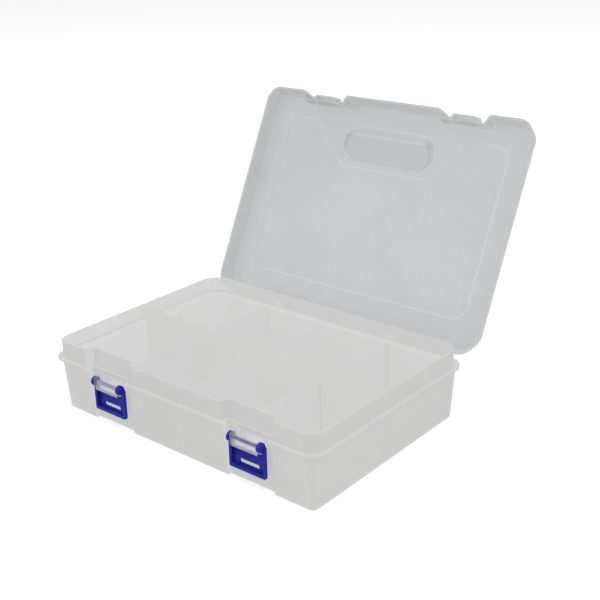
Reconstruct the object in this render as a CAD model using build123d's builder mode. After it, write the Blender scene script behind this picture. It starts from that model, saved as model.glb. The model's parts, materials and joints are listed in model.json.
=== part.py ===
from build123d import *
import os
import math

# A shallow plastic box with its lid standing open on three flexible webs, two latches
# hanging open at the front and six lift-out dividers in slots.  Millimetres.
# X runs along the front, Y from front (-) to back (+), Z up.
# Origin: centre of the flange outline, on the underside of the box.

os.makedirs("parts", exist_ok=True)

# ---------------------------------------------------------------------------
# Shared dimensions.  An inset or depth is measured inwards from the flange edge.
# ---------------------------------------------------------------------------
box_width = 280.0
box_depth = 196.6
front = -box_depth / 2
back = box_depth / 2

flange_top = 46.8            # height of the flange's upper face
rim_top = 61.6               # top of the rim that stands inside the lid
wall = 1.8
rim_wall = 1.6

# latches and their pivots
latch_x = 74.0
latch_centres = (-latch_x, latch_x)
pivot_y = front + 2.8
pivot_z = 38.0
pin_radius = 1.65

# dividers and the middle wall they meet
divider_x = 66.0
divider_columns = {"left": -divider_x, "center": 0.0, "right": divider_x}
middle_low_thickness = 2.4

# lid hinge: three webs along one axis, and the lips on tray and lid that hold them
axis_y = back + 2.0
axis_z = 47.0
web_radius = 0.5
center_web_half = 57.0
side_web_near = 66.0
side_web_far = 120.0
web_spans = {
    "left": (-side_web_far, -side_web_near),
    "center": (-center_web_half, center_web_half),
    "right": (side_web_near, side_web_far),
}
lip_gap = 0.1                # each lip stands this far off the axis plane
lip_thickness = 0.8


def rounded_outline(sketch, width, y_front, y_back, front_radius, back_radius):
    """Rectangle with one corner radius at the front and another at the back."""
    with Locations((0, (y_front + y_back) / 2)):
        Rectangle(width, y_back - y_front)
    fillet(sketch.vertices().sort_by(Axis.Y)[:2], front_radius)
    fillet(sketch.vertices().sort_by(Axis.Y)[-2:], back_radius)


def tray_outline(sketch, inset, front_radius, back_radius):
    """Outline of the tray, inset from the flange edge all round."""
    rounded_outline(
        sketch, box_width - 2 * inset, front + inset, back - inset, front_radius, back_radius
    )


def symmetric_points(centre_x, stations):
    """Closed outline mirrored about centre_x, from (half width, second coordinate) pairs."""
    left = [(centre_x - half, other) for half, other in stations]
    right = [(centre_x + half, other) for half, other in stations]
    return [left[0], *right, *left[:0:-1]]


# ---------------------------------------------------------------------------
# Base tray: walls and flange
# ---------------------------------------------------------------------------
flange_edge = 1.5            # thickness of the flange's edge
flange_root = 43.2           # height where the sloping underside meets the wall
flange_radii = (14.0, 18.0)  # plan corner radii: front, back

# outer face of the walls, drafted: inset and (front, back) corner radii
body_bottom_inset = 7.2
body_bottom_radii = (6.0, 8.0)
body_top_inset = 4.2
body_top_radii = (8.5, 11.0)
bottom_edge_round = 1.6

rim_inset = 3.9
rim_radius_front = 11.2
rim_radius_back = 17.0
rim_edge_round = 0.6


def build_walls():
    """Solid block with the outer shape of the walls, up to the flange."""
    with BuildPart() as walls:
        with BuildSketch(Plane.XY) as outline:
            tray_outline(outline, body_bottom_inset, *body_bottom_radii)
        with BuildSketch(Plane.XY.offset(flange_root)) as outline:
            tray_outline(outline, body_top_inset, *body_top_radii)
        loft(ruled=True)
        fillet(walls.faces().sort_by(Axis.Z)[0].edges(), bottom_edge_round)
    return walls.part


def build_flange_and_rim():
    """Solid block with the outer shape of the flange and the rim above it."""
    with BuildPart() as flange:
        with BuildSketch(Plane.XY.offset(flange_root)) as outline:
            tray_outline(outline, body_top_inset, *body_top_radii)
        with BuildSketch(Plane.XY.offset(flange_top - flange_edge)) as outline:
            tray_outline(outline, 0, *flange_radii)
        loft(ruled=True)
        with BuildSketch(Plane.XY.offset(flange_top - flange_edge)) as outline:
            tray_outline(outline, 0, *flange_radii)
        extrude(amount=flange_edge)
        with BuildSketch(Plane.XY.offset(flange_top)) as outline:
            tray_outline(outline, rim_inset, rim_radius_front, rim_radius_back)
        extrude(amount=rim_top - flange_top)
        fillet(flange.faces().sort_by(Axis.Z)[-1].edges(), rim_edge_round)
    return flange.part


# ---------------------------------------------------------------------------
# Base tray: hollows in the front, seen from outside and from the cavity
# ---------------------------------------------------------------------------
# hollow in the front wall round a latch
pocket_half = 23.0
pocket_depth_top = 8.3       # at the flange
pocket_depth_bottom = 11.0   # at the underside
pocket_bottom_extra = 0.06   # the profile starts just below the underside

# the rim steps back above a latch; its recess is lofted between two levels
recess_depth_bottom = 9.7
recess_depth_top = 11.4
recess_top = rim_top + 2.0
recess_mouth_half = 26.8
recess_inner_mouth_half = 28.6
# levels: height, half width at the back, depth
recess_levels = (
    (flange_top, 22.8, recess_depth_bottom),
    (recess_top, 22.4, recess_depth_top),
)
# the same, one rim wall further in
recess_inner_levels = (
    (flange_top - 1.8, 24.4, recess_depth_bottom + rim_wall),
    (recess_top, 24.0, recess_depth_top + rim_wall),
)


def pocket_points(thickness):
    """Side profile (y, z) of a pocket, its back moved inwards by thickness."""
    return [
        (front - 5, -1),
        (front + pocket_depth_bottom + thickness + pocket_bottom_extra, -1),
        (front + pocket_depth_top + thickness, flange_top),
        (front - 5, flange_top),
    ]


def recess_points(centre_x, mouth_half, back_half, depth):
    """Plan of the rim's recess at one level."""
    return symmetric_points(centre_x, [(mouth_half, front - 1), (back_half, front + depth)])


# ---------------------------------------------------------------------------
# Base tray: cavity
# ---------------------------------------------------------------------------
floor_thickness = 2.0
cavity_floor_inset = body_bottom_inset - 0.15 + wall
cavity_floor_round = 1.6
ledge_z = 48.2               # small inner ledge just above the flange
below_ledge_inset = 6.6
below_ledge_back_radius = rim_radius_back - rim_wall - 0.6
above_ledge_inset = 5.5

middle_high_thickness = 1.4
middle_step_z = 45.5
middle_top = 60.4
middle_overlap = 0.1         # the upper part starts this far inside the lower one

# pairs of ribs that form the divider slots
slot_half_gap = 0.9
rib_thickness = 1.1
rib_top = 46.5
side_rib_reach = 14.4        # front ribs of the side slots, from the flange edge
rib_reach = 10.5             # centre front ribs and all back ribs
middle_rib_reach = 2.8       # from the middle of the box


def build_cavity():
    """The space inside the walls, less the middle wall, the ribs and the front hollows."""
    with BuildPart() as cavity:
        with BuildSketch(Plane.XY.offset(floor_thickness)) as outline:
            tray_outline(outline, cavity_floor_inset, *[r - wall for r in body_bottom_radii])
        with BuildSketch(Plane.XY.offset(ledge_z)) as outline:
            tray_outline(
                outline, below_ledge_inset, body_top_radii[0] - wall, below_ledge_back_radius
            )
        loft(ruled=True)
        fillet(cavity.faces().sort_by(Axis.Z)[0].edges(), cavity_floor_round)
        with BuildSketch(Plane.XY.offset(ledge_z)) as outline:
            tray_outline(
                outline, above_ledge_inset, rim_radius_front - rim_wall, rim_radius_back - rim_wall
            )
        extrude(amount=rim_top - ledge_z + 1)

        # front wall round the pockets, and rim round the recesses above them
        for x in latch_centres:
            with BuildSketch(Plane.YZ.offset(x - pocket_half - wall)):
                with BuildLine():
                    Polyline(*pocket_points(wall), close=True)
                make_face()
            extrude(amount=2 * (pocket_half + wall), mode=Mode.SUBTRACT)
            for height, back_half, depth in recess_inner_levels:
                with BuildSketch(Plane.XY.offset(height)):
                    with BuildLine():
                        Polyline(
                            *recess_points(x, recess_inner_mouth_half, back_half, depth),
                            close=True,
                        )
                    make_face()
            loft(ruled=True, mode=Mode.SUBTRACT)

        # middle wall, thicker in its lower part
        with BuildSketch(Plane.XY):
            Rectangle(box_width, middle_low_thickness)
        extrude(amount=middle_step_z, mode=Mode.SUBTRACT)
        with BuildSketch(Plane.XY.offset(middle_step_z - middle_overlap)):
            Rectangle(box_width, middle_high_thickness)
        extrude(amount=middle_top - middle_step_z + middle_overlap, mode=Mode.SUBTRACT)

        # slot ribs on the front, back and middle walls
        for x in divider_columns.values():
            front_reach = side_rib_reach if x else rib_reach
            for side in (-1, 1):
                rib_x = x + side * (slot_half_gap + rib_thickness / 2)
                with BuildSketch(Plane.XY):
                    with Locations((rib_x, front + front_reach / 2)):
                        Rectangle(rib_thickness, front_reach)
                    with Locations((rib_x, back - rib_reach / 2)):
                        Rectangle(rib_thickness, rib_reach)
                    with Locations((rib_x, 0)):
                        Rectangle(rib_thickness, 2 * middle_rib_reach)
                extrude(amount=rib_top, mode=Mode.SUBTRACT)
    return cavity.part


# ---------------------------------------------------------------------------
# Base tray: assembled, with latch knuckles and hinge lips
# ---------------------------------------------------------------------------
knuckle_half = 12.4
knuckle_bottom = 31.2
knuckle_top = 42.8
knuckle_front = front - 0.4
knuckle_back_bottom = front + 10.2
knuckle_back_top = front + 9.6
knuckle_bottom_chamfer = 1.6
knuckle_top_chamfer = 1.0
pin_clearance = 0.05         # radial
pin_mouth_width = 2.7        # snap-in mouth below the pivot hole
pin_mouth_height = 10.0
tray_lip_root = back - 1.0


def build_base_tray():
    walls = build_walls()
    flange = build_flange_and_rim()
    cavity = build_cavity()
    with BuildPart() as tray:
        add(walls)
        add(flange)
        # pockets in the front wall and recesses in the rim
        for x in latch_centres:
            with BuildSketch(Plane.YZ.offset(x - pocket_half)):
                with BuildLine():
                    Polyline(*pocket_points(0), close=True)
                make_face()
            extrude(amount=2 * pocket_half, mode=Mode.SUBTRACT)
            for height, back_half, depth in recess_levels:
                with BuildSketch(Plane.XY.offset(height)):
                    with BuildLine():
                        Polyline(
                            *recess_points(x, recess_mouth_half, back_half, depth), close=True
                        )
                    make_face()
            loft(ruled=True, mode=Mode.SUBTRACT)
        add(cavity, mode=Mode.SUBTRACT)

        # knuckles: blocks on the front wall with a pivot hole open downwards
        for x in latch_centres:
            with BuildSketch(Plane.YZ.offset(x - knuckle_half)):
                with BuildLine():
                    Polyline(
                        (knuckle_front, knuckle_bottom + knuckle_bottom_chamfer),
                        (knuckle_front + knuckle_bottom_chamfer, knuckle_bottom),
                        (knuckle_back_bottom, knuckle_bottom),
                        (knuckle_back_top, knuckle_top),
                        (knuckle_front + knuckle_top_chamfer, knuckle_top),
                        (knuckle_front, knuckle_top - knuckle_top_chamfer),
                        close=True,
                    )
                make_face()
            extrude(amount=2 * knuckle_half)
            with BuildSketch(Plane.YZ.offset(x - knuckle_half - 0.5)):
                with Locations((pivot_y, pivot_z)):
                    Circle(pin_radius + pin_clearance)
                with Locations((pivot_y, pivot_z - pin_mouth_height / 2)):
                    Rectangle(pin_mouth_width, pin_mouth_height)
            extrude(amount=2 * knuckle_half + 1.0, mode=Mode.SUBTRACT)

        # lips that carry the webs, ending at the hinge axis
        for x_start, x_end in web_spans.values():
            with BuildSketch(Plane.YZ.offset(x_start)):
                with BuildLine():
                    Polyline(
                        (tray_lip_root, flange_top - 1.2),
                        (axis_y, axis_z - lip_gap - lip_thickness),
                        (axis_y, axis_z - lip_gap),
                        (tray_lip_root, axis_z - lip_gap),
                        close=True,
                    )
                make_face()
                with Locations((axis_y, axis_z)):
                    Circle(web_radius, mode=Mode.SUBTRACT)
                with Locations((axis_y + 0.5, axis_z)):
                    Rectangle(1.0, 4.0, mode=Mode.SUBTRACT)
            extrude(amount=x_end - x_start)
    return tray.part


# ---------------------------------------------------------------------------
# Flexible webs of the hinge
# ---------------------------------------------------------------------------
def build_web(x_start, x_end):
    with BuildPart() as web:
        with BuildSketch(Plane.YZ.offset(x_start)):
            with Locations((axis_y, axis_z)):
                Circle(web_radius)
        extrude(amount=x_end - x_start)
    return web.part


# ---------------------------------------------------------------------------
# Lid, drawn in its own plane: local x = X, local y = towards the hinge side,
# local z = out through the lid's top.  The plane is tipped open about the hinge.
# Front, back and top are those of the closed lid; heights are local z.
# ---------------------------------------------------------------------------
open_angle = math.radians(116.2)
lid_plane = Plane(
    origin=(0, axis_y, axis_z),
    x_dir=(1, 0, 0),
    z_dir=(0, math.sin(open_angle), math.cos(open_angle)),
)
lid_up = Axis(lid_plane.origin, lid_plane.z_dir)

lid_side_overhang = 0.8      # the skirt stands out past the flange
lid_front_overhang = 1.3
lid_width = box_width + 2 * lid_side_overhang
lid_back = -2.0              # outer face of the back skirt
lid_front = -(box_depth + 2.0 + lid_front_overhang)
lid_edge = 0.25              # height of the skirt's free edge
lid_height = 16.8
lid_wall = 1.6
lid_inner_top = lid_height - lid_wall

lid_draft = 3.0              # the skirt leans in by this much at the top
lid_draft_back = 2.0
inner_draft_share = 0.92     # share of that lean reached at the inner top
edge_radius_front = 14.0     # plan corner radii at the free edge
edge_radius_back = 15.0
top_radius_front = edge_radius_front - 0.8
top_radius_back = 20.0
lid_top_round = 4.0          # between skirt and top, outside
lid_inner_round = 1.6        # and inside

# notch in the lid's front at each latch
notch_depth_edge = 7.5       # at the free edge
notch_depth_top = 9.3        # at the lid's top
notch_halves = (26.4, 22.8, 20.9)   # half widths: mouth, behind the mouth, back
notch_wrap = (1.8, 1.6, 1.5)        # added to them by the wall round the notch
notch_levels = (                    # height, depth
    (lid_edge - 1.0, notch_depth_edge),
    (lid_height + 1.0, notch_depth_top),
)

# catch standing in the notch, leaning outwards, hollow from below
catch_front_half = 9.6
catch_root_half = 13.4
catch_hollow_front_half = catch_front_half - 0.9
catch_hollow_root_half = catch_root_half - 2.4
catch_top = 12.9
catch_face_edge = notch_depth_edge - 4.6          # depth of its front face, free edge
catch_face_top = notch_depth_top - 0.4 - 7.4      # and at its top
# height, then depths behind the lid's front: root, shoulder, front face
catch_levels = (
    (lid_edge, notch_depth_edge + 0.8, notch_depth_edge - 0.6, catch_face_edge),
    (catch_top, notch_depth_top + 0.2, notch_depth_top - 2.4, catch_face_top),
)
# height, then depths: root, front
catch_hollow_levels = (
    (lid_edge - 0.5, notch_depth_edge, catch_face_edge + 1.3),
    (catch_top - 1.4, notch_depth_top - 0.3, catch_face_top + 1.7),
)

# big panel set in from the top, standing proud by the same amount inside
panel_drop = 0.9
# outlines as (half width, local y)
panel_inside = ((118.2, -28.6), (118.2, -177.8), (86.0, -177.8), (45.6, -138.9))
panel_inside_radius = 14.0
panel_outside = ((117.0, -29.8), (117.0, -176.6), (86.5, -176.6), (46.1, -137.7))
panel_outside_radius = 13.0


def lid_outline(sketch, inset, back_inset, front_radius, back_radius):
    """Outline of the lid, inset at the front and sides, and separately at the back."""
    rounded_outline(
        sketch, lid_width - 2 * inset, lid_front + inset, lid_back - back_inset,
        front_radius, back_radius,
    )


def notch_points(centre_x, depth, wrap=(0, 0, 0)):
    """Plan of a notch, its half widths grown by wrap."""
    halves = [half + extra for half, extra in zip(notch_halves, wrap)]
    rows = (lid_front - 2, lid_front + 2.6, lid_front + depth)
    return symmetric_points(centre_x, list(zip(halves, rows)))


def build_lid_block():
    """Solid block with the outer shape of the lid."""
    with BuildPart() as block:
        with BuildSketch(lid_plane.offset(lid_edge)) as outline:
            lid_outline(outline, 0, 0, edge_radius_front, edge_radius_back)
        with BuildSketch(lid_plane.offset(lid_height)) as outline:
            lid_outline(outline, lid_draft, lid_draft_back, top_radius_front, top_radius_back)
        loft(ruled=True)
        fillet(block.faces().sort_by(lid_up)[-1].edges(), lid_top_round)
    return block.part


def build_lid_space():
    """The space inside the lid, less the walls that wrap round the notches."""
    with BuildPart() as space:
        with BuildSketch(lid_plane.offset(lid_edge - 0.5)) as outline:
            lid_outline(
                outline, lid_wall, lid_wall,
                edge_radius_front - lid_wall, edge_radius_back - lid_wall,
            )
        with BuildSketch(lid_plane.offset(lid_inner_top)) as outline:
            lid_outline(
                outline,
                lid_draft * inner_draft_share + lid_wall,
                lid_draft_back * inner_draft_share + lid_wall,
                top_radius_front - lid_wall,
                top_radius_back - lid_wall - 1.0,
            )
        loft(ruled=True)
        fillet(space.faces().sort_by(lid_up)[-1].edges(), lid_inner_round)
        for x in latch_centres:
            for height, depth in notch_levels:
                with BuildSketch(lid_plane.offset(height)):
                    with BuildLine():
                        Polyline(*notch_points(x, depth + lid_wall, notch_wrap), close=True)
                    make_face()
            loft(ruled=True, mode=Mode.SUBTRACT)
    return space.part


def build_lid_shell():
    """Lid with its notches, catches and panel."""
    block = build_lid_block()
    space = build_lid_space()
    with BuildPart() as shell:
        add(block)
        add(space, mode=Mode.SUBTRACT)
        for x in latch_centres:
            # notch, open to the front and through the lid's top
            for height, depth in notch_levels:
                with BuildSketch(lid_plane.offset(height)):
                    with BuildLine():
                        Polyline(*notch_points(x, depth), close=True)
                    make_face()
            loft(ruled=True, mode=Mode.SUBTRACT)
            # catch
            for height, root, shoulder, face in catch_levels:
                stations = [
                    (catch_root_half, lid_front + root),
                    (catch_root_half, lid_front + shoulder),
                    (catch_front_half, lid_front + face),
                ]
                with BuildSketch(lid_plane.offset(height)):
                    with BuildLine():
                        Polyline(*symmetric_points(x, stations), close=True)
                    make_face()
            loft(ruled=True)
            # hollow of the catch
            for height, root, face in catch_hollow_levels:
                stations = [
                    (catch_hollow_root_half, lid_front + root),
                    (catch_hollow_front_half, lid_front + face),
                ]
                with BuildSketch(lid_plane.offset(height)):
                    with BuildLine():
                        Polyline(*symmetric_points(x, stations), close=True)
                    make_face()
            loft(ruled=True, mode=Mode.SUBTRACT)

        # panel: added inside first, then cut from the top
        with BuildSketch(lid_plane.offset(lid_inner_top - panel_drop)):
            with BuildLine():
                FilletPolyline(
                    *symmetric_points(0, panel_inside), radius=panel_inside_radius, close=True
                )
            make_face()
        extrude(amount=panel_drop + 0.1)
        with BuildSketch(lid_plane.offset(lid_height - panel_drop)):
            with BuildLine():
                FilletPolyline(
                    *symmetric_points(0, panel_outside), radius=panel_outside_radius, close=True
                )
            make_face()
        extrude(amount=panel_drop + 1, mode=Mode.SUBTRACT)
    return shell.part


# ---------------------------------------------------------------------------
# Lid: hand scoop pressed into the top, and hinge lips
# ---------------------------------------------------------------------------
scoop_length = 93.0
scoop_width = 31.0
scoop_y = -160.2             # local y of its middle
scoop_depth = 10.6
scoop_crest = 8.7            # it is deepest this far from its front edge
scoop_rim_front = 1.0        # depth where the slopes start, at the front edge
scoop_rim_back = 1.5         # and at the back edge
scoop_taper = 22.0
lid_lip_span = (-3.2, -0.08)   # local y of the hinge lips
lid_lip_clearance = 0.06       # radial, round the web


def scoop_slope(at_back, lowered):
    """Plane of the scoop's short front slope or long back slope, moved down by lowered."""
    if at_back:
        run, rim, y, rise = scoop_width - scoop_crest, scoop_rim_back, scoop_width / 2, 1
    else:
        run, rim, y, rise = scoop_crest, scoop_rim_front, -scoop_width / 2, -1
    gradient = (scoop_depth - rim) / run * rise
    normal = (lid_plane.z_dir - lid_plane.y_dir * gradient).normalized()
    edge_point = lid_plane.from_local_coords(Vector(0, scoop_y + y, lid_height - rim))
    return Plane(origin=edge_point - normal * lowered, x_dir=(1, 0, 0), z_dir=normal)


def build_scoop_block(start_height, thickness, crest_round):
    """Solid block in the shape of the scoop, grown outwards by thickness."""
    with BuildPart() as block:
        with BuildSketch(lid_plane.offset(start_height)):
            with Locations((0, scoop_y)):
                SlotOverall(scoop_length + 2 * thickness, scoop_width + 2 * thickness)
        extrude(amount=-(scoop_depth + thickness + 3.0), taper=scoop_taper)
        split(bisect_by=scoop_slope(True, thickness), keep=Keep.TOP)
        split(bisect_by=scoop_slope(False, thickness), keep=Keep.TOP)
        # the lowest edge along X is the crease where the slopes meet
        fillet(block.edges().filter_by(Axis.X).sort_by(lid_up)[0], crest_round)
    return block.part


def build_lid_lips():
    """Three lips along the back of the lid, cut clear of the webs."""
    lip_start, lip_end = lid_lip_span
    with BuildPart() as lips:
        for x_start, x_end in web_spans.values():
            with BuildSketch(lid_plane.offset(lip_gap)):
                with Locations(((x_start + x_end) / 2, (lip_start + lip_end) / 2)):
                    Rectangle(x_end - x_start, lip_end - lip_start)
            extrude(amount=lip_thickness)
        with BuildSketch(Plane.YZ.offset(-box_width / 2)):
            with Locations((axis_y, axis_z)):
                Circle(web_radius + lid_lip_clearance)
        extrude(amount=box_width, mode=Mode.SUBTRACT)
    return lips.part


def build_lid():
    shell = build_lid_shell()
    scoop_skin = build_scoop_block(lid_height - lid_wall / 2, lid_wall, crest_round=3.0)
    scoop_void = build_scoop_block(lid_height + 0.01, 0, crest_round=1.8)
    lips = build_lid_lips()
    with BuildPart() as lid:
        add(shell)
        add(scoop_skin)
        add(scoop_void, mode=Mode.SUBTRACT)
        add(lips)
    return lid.part


# ---------------------------------------------------------------------------
# Latches, hanging open from their pivots
# ---------------------------------------------------------------------------
latch_half = 17.5
latch_end_z = pivot_z - 25.7     # the free end
latch_back = pivot_y + 4.8       # back face of the plate and rails
latch_front = pivot_y + 0.6      # front face of the rails
plate_top_z = pivot_z - 8.8
plate_thickness = 1.6
plate_side_inset = 0.2           # the plate's sides lie this far inside the rails'
rail_thickness = 2.8
hook_thickness = 3.4
ear_radius = 3.9
ear_outer_half = 15.5
ear_inner_half = 13.1
shoulder_top_z = pivot_z + 1.2   # shoulders slope from the ears out to the rails
shoulder_bottom_z = pivot_z - 3.2
back_chamfer_x = 1.7
back_chamfer_y = 1.9
finger_slot_width = 19.4
finger_slot_height = 3.9
finger_slot_offset = 4.2         # from the free end to the slot
finger_slot_radius = 1.2
end_corner_round = 1.2


def build_latch(centre_x):
    with BuildPart() as latch:
        # ears and the pin between them
        with BuildSketch(Plane.YZ.offset(centre_x - ear_outer_half)):
            with Locations((pivot_y, pivot_z)):
                Circle(ear_radius)
        extrude(amount=2 * ear_outer_half)
        with BuildSketch(Plane.YZ.offset(centre_x - ear_inner_half)):
            with Locations((pivot_y, pivot_z)):
                Circle(ear_radius + 1)
                Circle(pin_radius, mode=Mode.SUBTRACT)
        extrude(amount=2 * ear_inner_half, mode=Mode.SUBTRACT)

        # side rails
        for side in (-1, 1):
            rail_x = centre_x + side * (latch_half - rail_thickness / 2)
            with BuildSketch(Plane.YZ.offset(rail_x - rail_thickness / 2)):
                with BuildLine():
                    Polyline(
                        (latch_front, pivot_z),
                        (pivot_y + ear_radius - 0.3, pivot_z),
                        (latch_back, pivot_z - 3.0),
                        (latch_back, latch_end_z),
                        (latch_front, latch_end_z),
                        close=True,
                    )
                make_face()
            extrude(amount=rail_thickness)

        # plate, and the hook across its end
        with BuildSketch(Plane.XZ.offset(-(latch_back - plate_thickness))):
            with Locations((centre_x, (plate_top_z + latch_end_z) / 2)):
                Rectangle(2 * (latch_half - plate_side_inset), plate_top_z - latch_end_z)
        extrude(amount=-plate_thickness)
        with BuildSketch(Plane.XY.offset(latch_end_z)):
            with Locations((centre_x, (latch_back + latch_front) / 2)):
                Rectangle(2 * latch_half, latch_back - latch_front)
        extrude(amount=hook_thickness)

        # finger slot
        with BuildSketch(Plane.XZ.offset(-(pivot_y - 5))):
            slot_z = latch_end_z + finger_slot_offset + finger_slot_height / 2
            with Locations((centre_x, slot_z)):
                RectangleRounded(finger_slot_width, finger_slot_height, finger_slot_radius)
        extrude(amount=-20, mode=Mode.SUBTRACT)

        # trim to the front view, with sloping shoulders from the ears to the rails
        front_view = [
            (latch_half, latch_end_z),
            (latch_half, shoulder_bottom_z),
            (ear_outer_half, shoulder_top_z),
            (ear_outer_half, pivot_z + 6),
        ]
        with BuildSketch(Plane.XZ.offset(-(pivot_y + 20))):
            with BuildLine():
                Polyline(*symmetric_points(centre_x, front_view), close=True)
            make_face()
        extrude(amount=40, mode=Mode.INTERSECT)

        # trim to the view from above, with chamfered back corners
        top_view = [
            (latch_half, pivot_y - 8),
            (latch_half, latch_back - back_chamfer_y),
            (latch_half - back_chamfer_x, latch_back),
        ]
        with BuildSketch(Plane.XY.offset(latch_end_z - 1)):
            with BuildLine():
                Polyline(*symmetric_points(centre_x, top_view), close=True)
            make_face()
        extrude(amount=pivot_z - latch_end_z + 12, mode=Mode.INTERSECT)

        # soften the outer corners of the free end
        fillet(latch.edges().filter_by(Axis.Y).group_by(Axis.Z)[0], end_corner_round)
    return latch.part


# ---------------------------------------------------------------------------
# Lift-out dividers
# ---------------------------------------------------------------------------
divider_thickness = 1.4
divider_top = 49.0
divider_bottom = 2.15
divider_top_chamfer = 1.5
divider_bottom_chamfer = 2.4
divider_end_inset = 9.2          # outer end, from the flange edge
side_front_end_inset = 13.15     # the same for the front dividers at the sides
divider_middle_y = middle_low_thickness / 2 + 0.15   # inner end


def build_divider(x, y_start, y_end):
    with BuildPart() as divider:
        with BuildSketch(Plane.YZ.offset(x - divider_thickness / 2)):
            with BuildLine():
                Polyline(
                    (y_start + divider_bottom_chamfer, divider_bottom),
                    (y_end - divider_bottom_chamfer, divider_bottom),
                    (y_end, divider_bottom + divider_bottom_chamfer),
                    (y_end, divider_top - divider_top_chamfer),
                    (y_end - divider_top_chamfer, divider_top),
                    (y_start + divider_top_chamfer, divider_top),
                    (y_start, divider_top - divider_top_chamfer),
                    (y_start, divider_bottom + divider_bottom_chamfer),
                    close=True,
                )
            make_face()
        extrude(amount=divider_thickness)
    return divider.part


# ---------------------------------------------------------------------------
# All pieces, one file each
# ---------------------------------------------------------------------------
pieces = {"base_tray": build_base_tray(), "lid": build_lid()}
for web_place, span in web_spans.items():
    pieces[f"hinge_web_{web_place}"] = build_web(*span)
pieces["latch_left"] = build_latch(-latch_x)
pieces["latch_right"] = build_latch(latch_x)
for column, x in divider_columns.items():
    front_inset = side_front_end_inset if x else divider_end_inset
    pieces[f"divider_front_{column}"] = build_divider(x, front + front_inset, -divider_middle_y)
    pieces[f"divider_back_{column}"] = build_divider(
        x, divider_middle_y, back - divider_end_inset
    )

for name, piece in pieces.items():
    piece.label = name
    export_step(piece, f"parts/{name}.step")
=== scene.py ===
"""Translucent divided box with an open hinged lid and blue latches, on studio paper.

Metres, +Z up. The tray stands just above Z = 0, its latches on the front (-Y) and the
lid's hinge axis along X at the back (+Y). The camera looks from the front right.
"""
import bpy
import bmesh
import json
import math
from mathutils import Matrix, Vector


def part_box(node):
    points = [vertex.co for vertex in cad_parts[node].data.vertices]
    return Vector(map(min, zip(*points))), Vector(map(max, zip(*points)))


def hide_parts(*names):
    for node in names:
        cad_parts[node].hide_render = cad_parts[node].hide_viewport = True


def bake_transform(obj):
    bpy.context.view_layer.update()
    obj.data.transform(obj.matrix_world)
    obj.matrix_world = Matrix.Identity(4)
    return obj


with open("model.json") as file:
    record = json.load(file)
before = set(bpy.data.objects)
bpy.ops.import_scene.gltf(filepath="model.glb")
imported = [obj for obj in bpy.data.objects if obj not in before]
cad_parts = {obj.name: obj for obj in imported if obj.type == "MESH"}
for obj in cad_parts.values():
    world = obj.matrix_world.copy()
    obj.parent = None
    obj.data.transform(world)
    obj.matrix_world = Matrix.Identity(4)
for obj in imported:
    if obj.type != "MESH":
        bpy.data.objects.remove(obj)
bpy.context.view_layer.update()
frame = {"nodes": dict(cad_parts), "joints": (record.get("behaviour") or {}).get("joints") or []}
nodes = frame["nodes"]
lid_hinge = next(joint for joint in frame["joints"] if joint["name"] == "lid_hinge")

# --------------------------------------------------------------------------
# Shader helpers
# --------------------------------------------------------------------------
NOISE_SPAN = (0.3, 0.7)    # the part of a noise's range that is stretched to full contrast
WHITE = (1, 1, 1, 1)


class Shader:
    """A material and its node tree. Any value given may be a constant or a socket to link."""

    def __init__(self, name):
        self.material = bpy.data.materials.new(name)
        self.material.use_nodes = True
        self.tree = self.material.node_tree
        self.tree.nodes.clear()

    def plug(self, socket, value):
        if isinstance(value, bpy.types.NodeSocket):
            self.tree.links.new(value, socket)
        else:
            socket.default_value = value

    def add(self, kind, **values):
        """Add a node. A key names an input, with _ for each space, or else a node property."""
        new = self.tree.nodes.new(kind)
        for key, value in values.items():
            socket_name = key.replace("_", " ")
            if socket_name in new.inputs.keys():
                self.plug(new.inputs[socket_name], value)
            else:
                setattr(new, key, value)
        return new

    def remap(self, value, source, target=(0.0, 1.0)):
        return self.add("ShaderNodeMapRange", From_Min=source[0], From_Max=source[1],
                        To_Min=target[0], To_Max=target[1], Value=value).outputs["Result"]

    def math(self, operation, *values):
        new = self.add("ShaderNodeMath", operation=operation)
        for socket, value in zip(new.inputs, values):
            self.plug(socket, value)
        return new.outputs[0]

    def vector_math(self, operation, first, second):
        new = self.add("ShaderNodeVectorMath", operation=operation)
        self.plug(new.inputs[0], first)
        self.plug(new.inputs[1], second)
        return new.outputs["Value" if operation == "DOT_PRODUCT" else "Vector"]

    def mix_color(self, factor, first, second):
        new = self.add("ShaderNodeMix", data_type="RGBA")
        # inputs 6 and 7 and output 2 are the mix node's colour sockets
        for index, value in ((0, factor), (6, first), (7, second)):
            self.plug(new.inputs[index], value)
        return new.outputs[2]

    def mix_shader(self, factor, first, second):
        new = self.add("ShaderNodeMixShader")
        for socket, value in zip(new.inputs, (factor, first, second)):
            self.plug(socket, value)
        return new.outputs[0]

    def finish(self, surface):
        self.add("ShaderNodeOutputMaterial", Surface=surface)
        return self.material


def scaled_color(color, factors):
    return (*(channel * factor for channel, factor in zip(color, factors)), 1)


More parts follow.
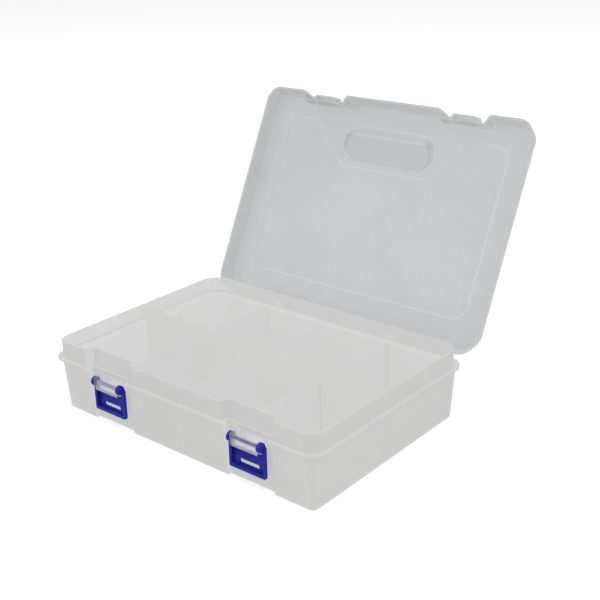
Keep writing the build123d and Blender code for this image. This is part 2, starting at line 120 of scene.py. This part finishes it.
def moulded_detail(shader, scale=1.0, bump=0.05):
    """Sockets for the marks of moulded plastic: object coordinates, cloudy flow marks,
    fine grain, waviness, a mask of hairline marks, and a normal bumped by the waviness."""
    coords = shader.add("ShaderNodeTexCoord").outputs["Object"]
    mapped = shader.add("ShaderNodeMapping", Vector=coords).outputs["Vector"]

    def noise(vector, **settings):
        return shader.add("ShaderNodeTexNoise", Vector=vector, **settings).outputs["Fac"]

    cloud = noise(mapped, Scale=10.0 * scale, Detail=4.0, Roughness=0.5, Distortion=0.0)
    fine = noise(mapped, Scale=900.0 * scale, Detail=2.0, Roughness=0.6)
    wide = noise(mapped, Scale=55.0 * scale, Detail=2.0, Roughness=0.5, Distortion=0.0)
    # hairline handling marks: stretched noise, of which only the peaks are kept
    stretched = shader.add("ShaderNodeMapping", Rotation=(0.2, 0.5, 0.7),
                           Scale=(30.0, 900.0, 900.0), Vector=coords).outputs["Vector"]
    hair = shader.remap(noise(stretched, Scale=1.0, Detail=1.0, Roughness=0.4), (0.70, 0.78))
    normal = shader.add("ShaderNodeBump", Strength=bump, Distance=0.0006,
                        Height=wide).outputs["Normal"]
    return dict(coords=coords, cloud=cloud, fine=fine, wide=wide, hair=hair, normal=normal)


def marked_roughness(shader, detail, span, marks):
    """Roughness that drifts over span with the waviness; marks is what hairlines and grain add."""
    drift = shader.remap(detail["wide"], NOISE_SPAN, span)
    surface_marks = shader.math("ADD", detail["hair"], detail["fine"])
    return shader.math("ADD", drift, shader.math("MULTIPLY", surface_marks, marks))


def edge_mask(shader, radius=0.0012):
    """1 on corners and creases, 0 on flat faces: how far the rounded-corner normal turns
    from the face normal."""
    rounded = shader.add("ShaderNodeBevel", samples=4, Radius=radius).outputs["Normal"]
    face = shader.add("ShaderNodeNewGeometry").outputs["Normal"]
    turn = shader.vector_math("DOT_PRODUCT", rounded, face)
    return shader.remap(turn, (0.997, 0.92))


# --------------------------------------------------------------------------
# Cloudy translucent polypropylene
# --------------------------------------------------------------------------
PAINTED_LIGHT_DIRECTION = (-0.5, 0.0, 0.866)    # direction of the painted top light: up, leaning to -X
PAINTED_LIGHT_FLOOR = -0.02                     # faces turned further away all count as this
PAINTED_SWEEP_HALF_WIDTH = 0.14                # X at which the painted light towards +X reaches its full gain
SKIN_SPAN = (0.055, 0.075)             # outward distance over which the outer skin, with its painted shade, begins
GLOSS_ROUGHNESS = 0.30

# The latch knuckles: two boxes on the tray's front, mirrored in X
KNUCKLE_X = 0.074
KNUCKLE_HALF_WIDTH = 0.01255
KNUCKLE_BACK = -0.0905
KNUCKLE_BOTTOM, KNUCKLE_TOP = 0.0309, 0.0432
KNUCKLE_CLEAR = 0.90
KNUCKLE_TINT = (0.93, 0.93, 0.95, 1)


def painted_top_light_gain(shader, painted_top_light, painted_top_light_mid):
    """Painted top light: gain on the glow by how far a face turns up, lighter where it turns up
    and darker where it turns away; it is 1 where the turn is painted_top_light_mid.
    """
    normal = shader.add("ShaderNodeNewGeometry").outputs["Normal"]
    turn = shader.vector_math("DOT_PRODUCT", normal, PAINTED_LIGHT_DIRECTION)
    top_light = shader.math("MAXIMUM", turn, PAINTED_LIGHT_FLOOR)
    change = shader.math("MULTIPLY", shader.math("SUBTRACT", top_light, painted_top_light_mid), painted_top_light)
    return shader.math("ADD", 1.0, change)


def painted_sweep_gain(shader, coords, painted_sweep):
    """Painted light: gain on the glow that grows towards +X, painting that side lighter."""
    x = shader.add("ShaderNodeSeparateXYZ", Vector=coords).outputs["X"]
    return shader.math("ADD", 1.0, shader.math("MULTIPLY", x, painted_sweep / PAINTED_SWEEP_HALF_WIDTH))


def painted_skin_shade_gain(shader, coords, painted_outer_shade):
    """Painted shade: the gain outside on the outer skin, 1 on the inside, painting the outer skin
    darker;
    the level position dotted with the normal tells them apart."""
    geometry = shader.add("ShaderNodeNewGeometry").outputs
    level_position = shader.vector_math("MULTIPLY", coords, (1, 1, 0))
    outward = shader.vector_math("DOT_PRODUCT", level_position, geometry["True Normal"])
    # undo the renderer's flip of normals on back faces
    flip = shader.math("SUBTRACT", 1.0, shader.math("MULTIPLY", geometry["Backfacing"], 2.0))
    away = shader.math("MULTIPLY", outward, flip)
    return shader.remap(away, SKIN_SPAN, (1.0, painted_outer_shade))


def knuckle_mask(shader, coords):
    """1 inside the boxes round the latch knuckles."""
    position = shader.add("ShaderNodeSeparateXYZ", Vector=coords).outputs
    mirrored_x = shader.math("ABSOLUTE", position["X"])
    off_center = shader.math("ABSOLUTE", shader.math("SUBTRACT", mirrored_x, KNUCKLE_X))
    in_x = shader.math("LESS_THAN", off_center, KNUCKLE_HALF_WIDTH)
    in_y = shader.math("LESS_THAN", position["Y"], KNUCKLE_BACK)
    in_z = shader.math("MULTIPLY", shader.math("GREATER_THAN", position["Z"], KNUCKLE_BOTTOM),
                       shader.math("LESS_THAN", position["Z"], KNUCKLE_TOP))
    return shader.math("MULTIPLY", shader.math("MULTIPLY", in_x, in_y), in_z)


def cloudy_plastic(name, clear, tint, painted_glow_color, haze=0.82, painted_glow_share=0.55, painted_edge_highlight=0.10, cloudy=0.02,
                   painted_top_light=0.0, painted_top_light_mid=0.382, painted_sweep=0.0, painted_outer_shade=1.0, graze=0.8,
                   knuckles=False, shine=0.4):
    """Cloudy translucent plastic under a satin gloss.

    clear: share of light passing straight through, tinted by haze
    tint: colour scattered at the surface
    deep: colour of the painted glow, an emission standing in for light scattered inside the
    plastic, shining whatever the lamps
    soft: weight of the painted glow against tint
    edge, cloudy: how much edges (a painted highlight) and flow marks change the painted glow
    form, painted_top_light_mid, sweep, outside: painted light and shade, gains on the painted
    glow: lighter on faces turned up, lighter towards +X, darker on the outer skin
    graze: factor on clear at grazing angles
    knuckles: make the latch knuckles glassy
    shine: weight of the gloss
    """
    shader = Shader(name)
    detail = moulded_detail(shader)
    coords, cloud, normal = detail["coords"], detail["cloud"], detail["normal"]

    # light scattered at the surface, half back and half through
    color = shader.mix_color(shader.remap(cloud, NOISE_SPAN),
                             scaled_color(tint, (0.98, 0.98, 0.985)),
                             scaled_color(tint, (1.01, 1.01, 1.005)))
    translucent = shader.add("ShaderNodeBsdfTranslucent", Color=color).outputs[0]
    diffuse = shader.add("ShaderNodeBsdfDiffuse", Color=color, Normal=normal).outputs[0]
    scattered = shader.mix_shader(0.5, diffuse, translucent)

    # painted glow: an emission standing in for light scattered inside the plastic; it shines the
    # same whatever the lamps
    # painted highlight: corners and creases are painted brighter in the glow
    edges = edge_mask(shader)
    level = shader.math("ADD", shader.remap(cloud, NOISE_SPAN, (1 - cloudy, 1 + cloudy)),
                        shader.math("MULTIPLY", edges, painted_edge_highlight))
    # painted top light and shade: faces turned up are painted lighter in the glow, faces turned
    # away darker
    if painted_top_light:
        level = shader.math("MULTIPLY", level, painted_top_light_gain(shader, painted_top_light, painted_top_light_mid))
    # painted light: the glow grows lighter towards +X
    if painted_sweep:
        level = shader.math("MULTIPLY", level, painted_sweep_gain(shader, coords, painted_sweep))
    # painted shade: the glow is darker on the tray's outer skin
    if painted_outer_shade != 1.0:
        level = shader.math("MULTIPLY", level, painted_skin_shade_gain(shader, coords, painted_outer_shade))
    glow = shader.add("ShaderNodeEmission", Color=(*painted_glow_color, 1), Strength=level).outputs[0]
    body = shader.mix_shader(painted_glow_share, scattered, glow)

    # clearness changes at grazing angles, where the light path in the wall is longer
    facing = shader.add("ShaderNodeLayerWeight", Blend=0.5).outputs["Facing"]
    clearness = shader.math("MULTIPLY",
                            shader.remap(facing, (0.0, 1.0), (clear, clear * graze)),
                            shader.remap(cloud, (0.25, 0.75), (0.95, 1.05)))
    haze_color = scaled_color((haze, haze, haze), (0.995, 1, 1.003))
    if knuckles:
        # the latch knuckles are thin and glassy: the pin shows through them
        mask = knuckle_mask(shader, coords)
        clearness = shader.math("MAXIMUM", clearness,
                                shader.math("MULTIPLY", mask, KNUCKLE_CLEAR))
        haze_color = shader.mix_color(mask, haze_color, KNUCKLE_TINT)
    transparent = shader.add("ShaderNodeBsdfTransparent", Color=haze_color).outputs[0]
    wall = shader.mix_shader(clearness, body, transparent)

    # satin gloss on top
    roughness = marked_roughness(shader, detail, marks=0.05,
                                 span=(GLOSS_ROUGHNESS * 0.85, GLOSS_ROUGHNESS * 1.2))
    gloss = shader.add("ShaderNodeBsdfGlossy", Color=WHITE, Roughness=roughness,
                       Normal=normal).outputs[0]
    fresnel = shader.add("ShaderNodeFresnel", IOR=1.40, Normal=normal).outputs[0]
    return shader.finish(shader.mix_shader(shader.math("MULTIPLY", fresnel, shine), wall, gloss))


# --------------------------------------------------------------------------
# Opaque materials
# --------------------------------------------------------------------------
def blue_plastic(name):
    shader = Shader(name)
    detail = moulded_detail(shader, scale=2.0, bump=0.05)
    blue = shader.mix_color(shader.remap(detail["cloud"], NOISE_SPAN),
                            (0.0045, 0.0042, 0.126, 1), (0.0070, 0.0066, 0.162, 1))
    # painted highlight: edges are painted a lighter blue in the base colour, as if they caught the
    # light
    pointiness = shader.add("ShaderNodeNewGeometry").outputs["Pointiness"]
    painted_pale_edges = shader.remap(pointiness, (0.52, 0.60), (0.0, 0.8))
    color = shader.mix_color(painted_pale_edges, blue, (0.025, 0.025, 0.30, 1))
    roughness = marked_roughness(shader, detail, span=(0.30, 0.42), marks=0.08)
    surface = shader.add("ShaderNodeBsdfPrincipled", IOR=1.49, Specular_IOR_Level=0.06,
                         Base_Color=color, Roughness=roughness, Normal=detail["normal"])
    return shader.finish(surface.outputs[0])


def paper(name, color):
    """Matt paper with a faint white glow of its own."""
    shader = Shader(name)
    surface = shader.add("ShaderNodeBsdfPrincipled", Base_Color=(*color, 1), Roughness=0.9,
                         Specular_IOR_Level=0.1, Emission_Color=WHITE, Emission_Strength=0.44)
    return shader.finish(surface.outputs[0])


# --------------------------------------------------------------------------
# Dress the CAD pieces
# --------------------------------------------------------------------------
# one plastic in four copies: their tints and painted glow colours differ part by part as painted
# light and shade, the lid's darkest and the dividers' lightest
tray_plastic = cloudy_plastic(
    "cloudy_pp_tray", clear=0.38, tint=(0.73, 0.73, 0.72), painted_glow_color=(0.715, 0.717, 0.709),
    haze=0.83, painted_glow_share=0.85, painted_edge_highlight=0.03, knuckles=True, painted_outer_shade=0.82, painted_top_light=-0.05, painted_top_light_mid=0.1,
    shine=0.25, graze=0.85)
lid_plastic = cloudy_plastic(
    "cloudy_pp_lid", clear=0.42, tint=(0.54, 0.545, 0.56), painted_glow_color=(0.492, 0.494, 0.503),
    haze=0.86, painted_glow_share=0.68, painted_edge_highlight=0.60, painted_top_light=0.22, shine=0.5, cloudy=0.03, painted_sweep=0.055,
    graze=1.05)
divider_plastic = cloudy_plastic(
    "cloudy_pp_divider", clear=0.64, tint=(0.76, 0.76, 0.75), painted_glow_color=(0.74, 0.742, 0.732),
    haze=0.90, painted_glow_share=0.88, painted_edge_highlight=0.03, shine=0.2)
web_plastic = cloudy_plastic(
    "cloudy_pp_web", clear=0.45, tint=(0.60, 0.60, 0.60), painted_glow_color=(0.55, 0.55, 0.55))
latch_plastic = blue_plastic("blue_latch_plastic")

WHOLE_NAMES = {"base_tray": tray_plastic, "lid": lid_plastic}
PREFIXES = {"divider": divider_plastic, "latch": latch_plastic, "hinge_web": web_plastic}


def material_for(name):
    if name in WHOLE_NAMES:
        return WHOLE_NAMES[name]
    return next((mat for prefix, mat in PREFIXES.items() if name.startswith(prefix)), None)


for name in nodes:
    material = material_for(name)
    if material:
        slots = nodes[name].data.materials
        slots.clear()
        slots.append(material)


def link_object(name, data):
    obj = bpy.data.objects.new(name, data)
    bpy.context.scene.collection.objects.link(obj)
    return obj


def mesh_object(name, bm, material):
    mesh = bpy.data.meshes.new(name)
    bm.to_mesh(mesh)
    bm.free()
    obj = link_object(name, mesh)
    mesh.materials.append(material)
    return obj


# --------------------------------------------------------------------------
# Hinge webs: each is a thin bowed strip from the tray's lip to the lid's lip
# --------------------------------------------------------------------------
WEB_HALF_THICK = 0.00034
WEB_REACH = 0.0021         # from the axis to where the strip meets each lip
WEB_HANDLE = 0.0007        # from the axis to the curve's inner control points
WEB_LIP_OFFSET = 0.0005    # of each lip from its plane through the axis
WEB_HANDLE_OFFSET = 0.8    # share of the lip offset kept at the inner control points
WEB_END_GAP = 0.0002       # at each end of the strip, along X
WEB_BOW_STEPS = 28
WEB_LENGTH_STEPS = 60
WEB_FADE_STEPS = 2.0       # length steps over which the ends thin out

axis = Vector(lid_hinge["pos_m"])
lid_open = math.radians(abs(lid_hinge["range_deg"][0]))    # how far the lid stands open at rest


def web_curve():
    """Middle line in YZ: leaves the tray's lip flat, bows round the axis and meets the
    lid's lip at the rest angle."""
    tray_way = Vector((0, -1, 0))
    lid_way = Vector((0, -math.cos(lid_open), math.sin(lid_open)))
    tray_offset = Vector((0, 0, -WEB_LIP_OFFSET))
    lid_offset = Vector((0, math.sin(lid_open), math.cos(lid_open))) * WEB_LIP_OFFSET
    tray_end = axis + tray_way * WEB_REACH + tray_offset
    tray_handle = axis + tray_way * WEB_HANDLE + tray_offset * WEB_HANDLE_OFFSET
    lid_handle = axis + lid_way * WEB_HANDLE + lid_offset * WEB_HANDLE_OFFSET
    lid_end = axis + lid_way * WEB_REACH + lid_offset
    points = []
    for i in range(WEB_BOW_STEPS + 1):
        s = i / WEB_BOW_STEPS
        points.append(tray_end * (1 - s) ** 3 + tray_handle * 3 * (1 - s) ** 2 * s
                      + lid_handle * 3 * (1 - s) * s ** 2 + lid_end * s ** 3)
    return points


def web_strip(name, x_start, x_end):
    """Sweep the curve along X, thinnest in the middle of the bow and at the strip's ends."""
    bm = bmesh.new()
    points = web_curve()
    rings = []
    for k in range(WEB_LENGTH_STEPS + 1):
        along = k / WEB_LENGTH_STEPS
        x = x_start + (x_end - x_start) * along
        end_fade = min(1.0, min(along, 1 - along) * WEB_LENGTH_STEPS / WEB_FADE_STEPS)
        one_side, other_side = [], []
        for i, point in enumerate(points):
            tangent = (points[min(i + 1, WEB_BOW_STEPS)] - points[max(i - 1, 0)]).normalized()
            normal = Vector((0, -tangent.z, tangent.y))
            s = i / WEB_BOW_STEPS
            half_thick = (WEB_HALF_THICK * (0.55 + 0.45 * abs(2 * s - 1) ** 1.5)
                          * (0.6 + 0.4 * end_fade))
            middle = Vector((x, point.y, point.z))
            one_side.append(bm.verts.new(middle + normal * half_thick))
            other_side.append(bm.verts.new(middle - normal * half_thick))
        rings.append(one_side + other_side[::-1])
    count = len(rings[0])
    for ring, after in zip(rings, rings[1:]):
        for i in range(count):
            j = (i + 1) % count
            bm.faces.new((ring[i], ring[j], after[j], after[i]))
    bm.faces.new(rings[0][::-1])
    bm.faces.new(rings[-1])
    bmesh.ops.recalc_face_normals(bm, faces=bm.faces)
    strip = mesh_object(name, bm, web_plastic)
    polygons = strip.data.polygons
    polygons.foreach_set("use_smooth", [True] * len(polygons))
    return strip


for side in ("left", "center", "right"):
    low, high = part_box("hinge_web_" + side)
    strip = web_strip("web_strip_" + side, low.x + WEB_END_GAP, high.x - WEB_END_GAP)
    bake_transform(strip)
    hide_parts("hinge_web_" + side)

# --------------------------------------------------------------------------
# Floor and light
# --------------------------------------------------------------------------
FLOOR_HALF = 7
FLOOR_Z = -0.0006


def stage_floor():
    bm = bmesh.new()
    signs = ((-1, -1), (1, -1), (1, 1), (-1, 1))
    bm.faces.new([bm.verts.new((x * FLOOR_HALF, y * FLOOR_HALF, FLOOR_Z)) for x, y in signs])
    mesh_object("studio_floor", bm, paper("studio_paper", color=(0.62, 0.62, 0.62)))


def softbox(name, place, target, size, watts):
    light = bpy.data.lights.new(name, "AREA")
    light.shape = "RECTANGLE"
    light.size, light.size_y = size
    light.energy = watts
    light.color = (1, 1, 1)
    obj = link_object(name, light)
    obj.location = place
    aim = Vector(target) - Vector(place)
    obj.rotation_euler = aim.to_track_quat("-Z", "Y").to_euler()


stage_floor()
softbox("softbox_top", place=(0.1, -0.1, 1.7), target=(0, 0, 0.05), size=(2.2, 2.2), watts=26)
softbox("softbox_front_left", place=(-1.3, -1.2, 0.9), target=(0, 0, 0.08), size=(1.2, 1.2),
        watts=9)
softbox("softbox_right", place=(1.5, -0.5, 0.8), target=(0, 0, 0.08), size=(1.0, 1.2), watts=5)

world = bpy.data.worlds.new("studio_world")
bpy.context.scene.world = world
world.use_nodes = True
background = world.node_tree.nodes["Background"]
background.inputs["Color"].default_value = WHITE
background.inputs["Strength"].default_value = 0.75

# --------------------------------------------------------------------------
# Camera
# --------------------------------------------------------------------------
AZIMUTH = math.radians(39.818)      # from -Y towards +X
ELEVATION = math.radians(21.782)
ROLL = math.radians(-1.125)
PIVOT = Vector((0, -0.0003, 0.057))
# camera's place from the pivot, along its own axes
CAMERA_RIGHT, CAMERA_UP, CAMERA_BACK = 0.03598, 0.0385, 0.853524

back = Vector((math.sin(AZIMUTH) * math.cos(ELEVATION),
               -math.cos(AZIMUTH) * math.cos(ELEVATION),
               math.sin(ELEVATION)))
level_right = (-back).cross(Vector((0, 0, 1))).normalized()
level_up = level_right.cross(-back)
right = level_right * math.cos(ROLL) + level_up * math.sin(ROLL)
up = -level_right * math.sin(ROLL) + level_up * math.cos(ROLL)
place = PIVOT + right * CAMERA_RIGHT + up * CAMERA_UP + back * CAMERA_BACK

camera = bpy.data.cameras.new("camera")
camera.sensor_width = 36.0
camera.lens = 63.0936
camera.clip_start, camera.clip_end = 0.02, 50
camera_object = bpy.data.objects.new("camera", camera)
camera_object.matrix_world = Matrix((
    (right.x, up.x, back.x, place.x),
    (right.y, up.y, back.y, place.y),
    (right.z, up.z, back.z, place.z),
    (0, 0, 0, 1),
))
bpy.context.scene.collection.objects.link(camera_object)
bpy.context.scene.camera = camera_object

view = bpy.context.scene.view_settings
view.view_transform = "Standard"
view.look = "None"
view.exposure = 0.0
view.gamma = 1.0
